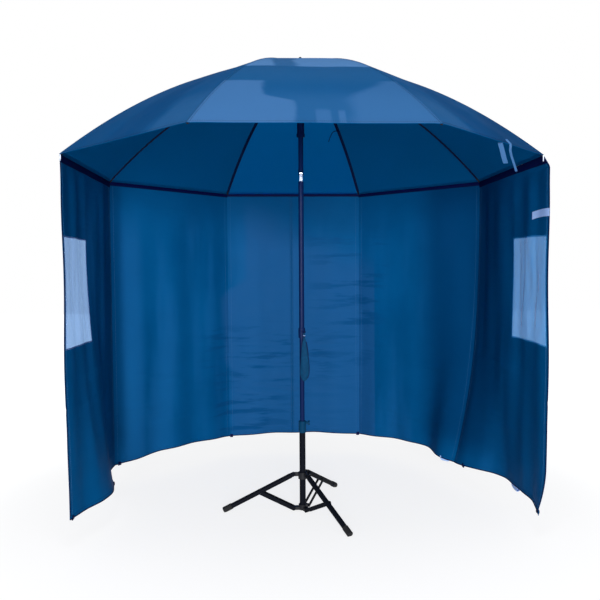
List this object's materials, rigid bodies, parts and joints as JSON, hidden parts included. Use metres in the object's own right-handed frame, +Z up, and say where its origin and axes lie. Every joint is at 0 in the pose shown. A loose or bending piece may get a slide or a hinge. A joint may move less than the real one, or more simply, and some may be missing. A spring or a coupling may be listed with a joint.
{
  "type": "umbrella tent",
  "caption": "Fishing umbrella with a zip-on side curtain and clear windows, on a tilting telescopic pole in a small folding tripod stand.",
  "frame": {"origin": "on the ground under the pole, at the middle of the octagonal canopy's footprint", "axes": "+Z up along the pole, +Y towards the closed back, -Y towards the open front, +X to the right seen from the front"},
  "size_m": [2.0485, 2.0326, 2.206],
  "materials": {
    "canopy_cloth": "coated woven nylon, slight sheen",
    "curtain_cloth": "coated woven nylon, slight sheen",
    "window_film": "clear soft film",
    "pouch_cloth": "matt woven",
    "rib_fibreglass": "satin glass-fibre rod",
    "stretcher_steel": "dark lacquered steel",
    "pole_enamel": "gloss enamel",
    "stand_enamel": "satin enamel",
    "black_plastic": "satin moulded",
    "bright_chrome": "polished",
    "foot_rubber": "matt"
  },
  "bodies": {
    "stand": {"stand_tube": "stand_enamel", "base_spider": "black_plastic", "stand_clamp": "black_plastic"},
    "stand_knob": {"stand_clamp_knob": "black_plastic"},
    "strut_1": {"strut_1": "stand_enamel"},
    "strut_2": {"strut_2": "stand_enamel"},
    "strut_3": {"strut_3": "stand_enamel"},
    "leg_1": {"leg_1": "stand_enamel", "foot_1": "foot_rubber"},
    "leg_2": {"leg_2": "stand_enamel", "foot_2": "foot_rubber"},
    "leg_3": {"leg_3": "stand_enamel", "foot_3": "foot_rubber"},
    "hub": {"leg_hub": "black_plastic"},
    "hub_knob": {"leg_hub_knob": "black_plastic"},
    "lower_pole": {"lower_pole": "pole_enamel"},
    "mid_pole": {"mid_pole": "pole_enamel", "tilt_link": "bright_chrome", "pole_clamp": "black_plastic"},
    "clamp_knob": {"pole_clamp_knob": "black_plastic"},
    "pouch": {"peg_pouch": "pouch_cloth"},
    "button": {"tilt_button": "bright_chrome"},
    "head": {"top_tube": "pole_enamel", "top_notch": "black_plastic", "finial": "black_plastic", "tilt_fork": "pole_enamel", "tilt_pin": "bright_chrome"},
    "catch": {"runner_catch": "bright_chrome"},
    "runner": {"runner": "black_plastic"},
    "rib_1": {"rib_1": "rib_fibreglass", "canopy_panel_1": "canopy_cloth"},
    "stretcher_1": {"stretcher_1": "stretcher_steel"},
    "rib_2": {"rib_2": "rib_fibreglass", "canopy_panel_2": "canopy_cloth"},
    "stretcher_2": {"stretcher_2": "stretcher_steel"},
    "rib_3": {"rib_3": "rib_fibreglass", "canopy_panel_3": "canopy_cloth"},
    "stretcher_3": {"stretcher_3": "stretcher_steel"},
    "rib_4": {"rib_4": "rib_fibreglass", "canopy_panel_4": "canopy_cloth"},
    "stretcher_4": {"stretcher_4": "stretcher_steel"},
    "rib_5": {"rib_5": "rib_fibreglass", "canopy_panel_5": "canopy_cloth"},
    "stretcher_5": {"stretcher_5": "stretcher_steel"},
    "rib_6": {"rib_6": "rib_fibreglass", "canopy_panel_6": "canopy_cloth"},
    "stretcher_6": {"stretcher_6": "stretcher_steel"},
    "rib_7": {"rib_7": "rib_fibreglass", "canopy_panel_7": "canopy_cloth"},
    "stretcher_7": {"stretcher_7": "stretcher_steel"},
    "rib_8": {"rib_8": "rib_fibreglass", "canopy_panel_8": "canopy_cloth"},
    "stretcher_8": {"stretcher_8": "stretcher_steel"},
    "curtain_right": {"curtain_right": "curtain_cloth", "window_right": "window_film"},
    "curtain_back_right": {"curtain_back_right": "curtain_cloth"},
    "curtain_back": {"curtain_back": "curtain_cloth"},
    "curtain_back_left": {"curtain_back_left": "curtain_cloth"},
    "curtain_left": {"curtain_left": "curtain_cloth", "window_left": "window_film"}
  },
  "joints": [
    {"name": "pole_swivel", "type": "hinge", "parent": "stand", "child": "lower_pole", "pos_m": [0, 0, 0.42], "axis": [0, 0, 1], "continuous": true},
    {"name": "pole_height", "type": "slide", "parent": "lower_pole", "child": "mid_pole", "axis": [0, 0, 1], "range_m": [-0.11, 0.25]},
    {"name": "tilt", "type": "hinge", "parent": "mid_pole", "child": "head", "pos_m": [0, 0, 1.65438], "axis": [1, 0, 0], "range_deg": [0, 40]},
    {"name": "rib_1_fold", "type": "hinge", "parent": "head", "child": "rib_1", "pos_m": [0.01148, -0.02772, 2.136], "axis": [0.9239, 0.3827, 0], "range_deg": [0, 60], "deforming": ["canopy_panel_1"]},
    {"name": "stretcher_1_fold", "type": "hinge", "parent": "rib_1", "child": "stretcher_1", "pos_m": [0.19078, -0.46058, 2.02819], "axis": [0.9239, 0.3827, 0], "range_deg": [-120, 0]},
    {"name": "rib_2_fold", "type": "hinge", "parent": "head", "child": "rib_2", "pos_m": [0.02772, -0.01148, 2.136], "axis": [0.3827, 0.9239, 0], "range_deg": [0, 60], "deforming": ["canopy_panel_2"]},
    {"name": "stretcher_2_fold", "type": "hinge", "parent": "rib_2", "child": "stretcher_2", "pos_m": [0.46058, -0.19078, 2.02819], "axis": [0.3827, 0.9239, 0], "range_deg": [-120, 0]},
    {"name": "rib_3_fold", "type": "hinge", "parent": "head", "child": "rib_3", "pos_m": [0.02772, 0.01148, 2.136], "axis": [-0.3827, 0.9239, 0], "range_deg": [0, 60], "deforming": ["canopy_panel_3"]},
    {"name": "stretcher_3_fold", "type": "hinge", "parent": "rib_3", "child": "stretcher_3", "pos_m": [0.46058, 0.19078, 2.02819], "axis": [-0.3827, 0.9239, 0], "range_deg": [-120, 0]},
    {"name": "rib_4_fold", "type": "hinge", "parent": "head", "child": "rib_4", "pos_m": [0.01148, 0.02772, 2.136], "axis": [-0.9239, 0.3827, 0], "range_deg": [0, 60], "deforming": ["canopy_panel_4"]},
    {"name": "stretcher_4_fold", "type": "hinge", "parent": "rib_4", "child": "stretcher_4", "pos_m": [0.19078, 0.46058, 2.02819], "axis": [-0.9239, 0.3827, 0], "range_deg": [-120, 0]},
    {"name": "rib_5_fold", "type": "hinge", "parent": "head", "child": "rib_5", "pos_m": [-0.01148, 0.02772, 2.136], "axis": [-0.9239, -0.3827, 0], "range_deg": [0, 60], "deforming": ["canopy_panel_5"]},
    {"name": "stretcher_5_fold", "type": "hinge", "parent": "rib_5", "child": "stretcher_5", "pos_m": [-0.19078, 0.46058, 2.02819], "axis": [-0.9239, -0.3827, 0], "range_deg": [-120, 0]},
    {"name": "rib_6_fold", "type": "hinge", "parent": "head", "child": "rib_6", "pos_m": [-0.02772, 0.01148, 2.136], "axis": [-0.3827, -0.9239, 0], "range_deg": [0, 60], "deforming": ["canopy_panel_6"]},
    {"name": "stretcher_6_fold", "type": "hinge", "parent": "rib_6", "child": "stretcher_6", "pos_m": [-0.46058, 0.19078, 2.02819], "axis": [-0.3827, -0.9239, 0], "range_deg": [-120, 0]},
    {"name": "rib_7_fold", "type": "hinge", "parent": "head", "child": "rib_7", "pos_m": [-0.02772, -0.01148, 2.136], "axis": [0.3827, -0.9239, 0], "range_deg": [0, 60], "deforming": ["canopy_panel_7"]},
    {"name": "stretcher_7_fold", "type": "hinge", "parent": "rib_7", "child": "stretcher_7", "pos_m": [-0.46058, -0.19078, 2.02819], "axis": [0.3827, -0.9239, 0], "range_deg": [-120, 0]},
    {"name": "rib_8_fold", "type": "hinge", "parent": "head", "child": "rib_8", "pos_m": [-0.01148, -0.02772, 2.136], "axis": [0.9239, -0.3827, 0], "range_deg": [0, 60], "deforming": ["canopy_panel_8"]},
    {"name": "stretcher_8_fold", "type": "hinge", "parent": "rib_8", "child": "stretcher_8", "pos_m": [-0.19078, -0.46058, 2.02819], "axis": [0.9239, -0.3827, 0], "range_deg": [-120, 0]},
    {"name": "runner_level", "type": "hinge", "parent": "stretcher_1", "child": "runner", "pos_m": [0.01148, -0.02772, 1.92038], "axis": [0.9239, 0.3827, 0], "range_deg": [0, 60]},
    {"name": "curtain_right_gather", "type": "slide", "parent": "head", "child": "curtain_right", "axis": [-1, 0, 0], "range_m": [0, 0.74637], "deforming": ["curtain_right", "window_right"]},
    {"name": "curtain_back_right_gather", "type": "slide", "parent": "head", "child": "curtain_back_right", "axis": [-0.7071, -0.7071, 0], "range_m": [0, 0.74637], "deforming": ["curtain_back_right"]},
    {"name": "curtain_back_gather", "type": "slide", "parent": "head", "child": "curtain_back", "axis": [0, -1, 0], "range_m": [0, 0.74637], "deforming": ["curtain_back"]},
    {"name": "curtain_back_left_gather", "type": "slide", "parent": "head", "child": "curtain_back_left", "axis": [0.7071, -0.7071, 0], "range_m": [0, 0.74637], "deforming": ["curtain_back_left"]},
    {"name": "curtain_left_gather", "type": "slide", "parent": "head", "child": "curtain_left", "axis": [1, 0, 0], "range_m": [0, 0.74637], "deforming": ["curtain_left", "window_left"]},
    {"name": "catch_out", "type": "slide", "parent": "head", "child": "catch", "axis": [1, 0, 0], "range_m": [0, 0.003], "stiffness_N_per_m": 1500},
    {"name": "button_press", "type": "slide", "parent": "mid_pole", "child": "button", "axis": [0, 1, 0], "range_m": [0, 0.0025], "stiffness_N_per_m": 1500},
    {"name": "pouch_swing", "type": "hinge", "parent": "mid_pole", "child": "pouch", "pos_m": [0.01, -0.026, 0.886], "axis": [-1, 0, 0], "range_deg": [0, 50]},
    {"name": "clamp_knob_turn", "type": "hinge", "parent": "mid_pole", "child": "clamp_knob", "pos_m": [0, 0.0263, 0.862], "axis": [0, 1, 0], "continuous": true},
    {"name": "stand_knob_turn", "type": "hinge", "parent": "stand", "child": "stand_knob", "pos_m": [0.0278, 0, 0.434], "axis": [1, 0, 0], "continuous": true},
    {"name": "strut_1_fold", "type": "hinge", "parent": "stand", "child": "strut_1", "pos_m": [0.0225, 0.03897, 0.012], "axis": [0.866, -0.5, 0], "range_deg": [0, 49]},
    {"name": "leg_1_fold", "type": "hinge", "parent": "strut_1", "child": "leg_1", "pos_m": [0.10646, 0.1844, 0.096], "axis": [0.866, -0.5, 0], "range_deg": [-98, 0]},
    {"name": "hub_level", "type": "hinge", "parent": "leg_1", "child": "hub", "pos_m": [0.0225, 0.03897, 0.18], "axis": [0.866, -0.5, 0], "range_deg": [0, 49]},
    {"name": "strut_2_fold", "type": "hinge", "parent": "stand", "child": "strut_2", "pos_m": [-0.045, 0, 0.012], "axis": [0, 1, 0], "range_deg": [0, 49]},
    {"name": "leg_2_fold", "type": "hinge", "parent": "hub", "child": "leg_2", "pos_m": [-0.045, 0, 0.18], "axis": [0, 1, 0], "range_deg": [-49, 0]},
    {"name": "strut_3_fold", "type": "hinge", "parent": "stand", "child": "strut_3", "pos_m": [0.0225, -0.03897, 0.012], "axis": [-0.866, -0.5, 0], "range_deg": [0, 49]},
    {"name": "leg_3_fold", "type": "hinge", "parent": "hub", "child": "leg_3", "pos_m": [0.0225, -0.03897, 0.18], "axis": [-0.866, -0.5, 0], "range_deg": [-49, 0]},
    {"name": "hub_knob_turn", "type": "hinge", "parent": "hub", "child": "hub_knob", "pos_m": [0.0313, 0, 0.174], "axis": [1, 0, 0], "continuous": true}
  ],
  "couplings": [
    {"joint": "stretcher_1_fold", "follows": "rib_1_fold", "ratio": -2},
    {"joint": "stretcher_2_fold", "follows": "rib_1_fold", "ratio": -2},
    {"joint": "rib_2_fold", "follows": "rib_1_fold", "ratio": 1},
    {"joint": "stretcher_3_fold", "follows": "rib_1_fold", "ratio": -2},
    {"joint": "rib_3_fold", "follows": "rib_1_fold", "ratio": 1},
    {"joint": "stretcher_4_fold", "follows": "rib_1_fold", "ratio": -2},
    {"joint": "rib_4_fold", "follows": "rib_1_fold", "ratio": 1},
    {"joint": "stretcher_5_fold", "follows": "rib_1_fold", "ratio": -2},
    {"joint": "rib_5_fold", "follows": "rib_1_fold", "ratio": 1},
    {"joint": "stretcher_6_fold", "follows": "rib_1_fold", "ratio": -2},
    {"joint": "rib_6_fold", "follows": "rib_1_fold", "ratio": 1},
    {"joint": "stretcher_7_fold", "follows": "rib_1_fold", "ratio": -2},
    {"joint": "rib_7_fold", "follows": "rib_1_fold", "ratio": 1},
    {"joint": "stretcher_8_fold", "follows": "rib_1_fold", "ratio": -2},
    {"joint": "rib_8_fold", "follows": "rib_1_fold", "ratio": 1},
    {"joint": "runner_level", "follows": "rib_1_fold", "ratio": 1},
    {"joint": "curtain_right_gather", "follows": "rib_1_fold", "m_per_rad": 0.71263},
    {"joint": "curtain_back_right_gather", "follows": "rib_1_fold", "m_per_rad": 0.71263},
    {"joint": "curtain_back_gather", "follows": "rib_1_fold", "m_per_rad": 0.71263},
    {"joint": "curtain_back_left_gather", "follows": "rib_1_fold", "m_per_rad": 0.71263},
    {"joint": "curtain_left_gather", "follows": "rib_1_fold", "m_per_rad": 0.71263},
    {"joint": "leg_1_fold", "follows": "strut_1_fold", "ratio": -2},
    {"joint": "hub_level", "follows": "strut_1_fold", "ratio": 1},
    {"joint": "strut_2_fold", "follows": "strut_1_fold", "ratio": 1},
    {"joint": "leg_2_fold", "follows": "strut_1_fold", "ratio": -1},
    {"joint": "strut_3_fold", "follows": "strut_1_fold", "ratio": 1},
    {"joint": "leg_3_fold", "follows": "strut_1_fold", "ratio": -1}
  ]
}
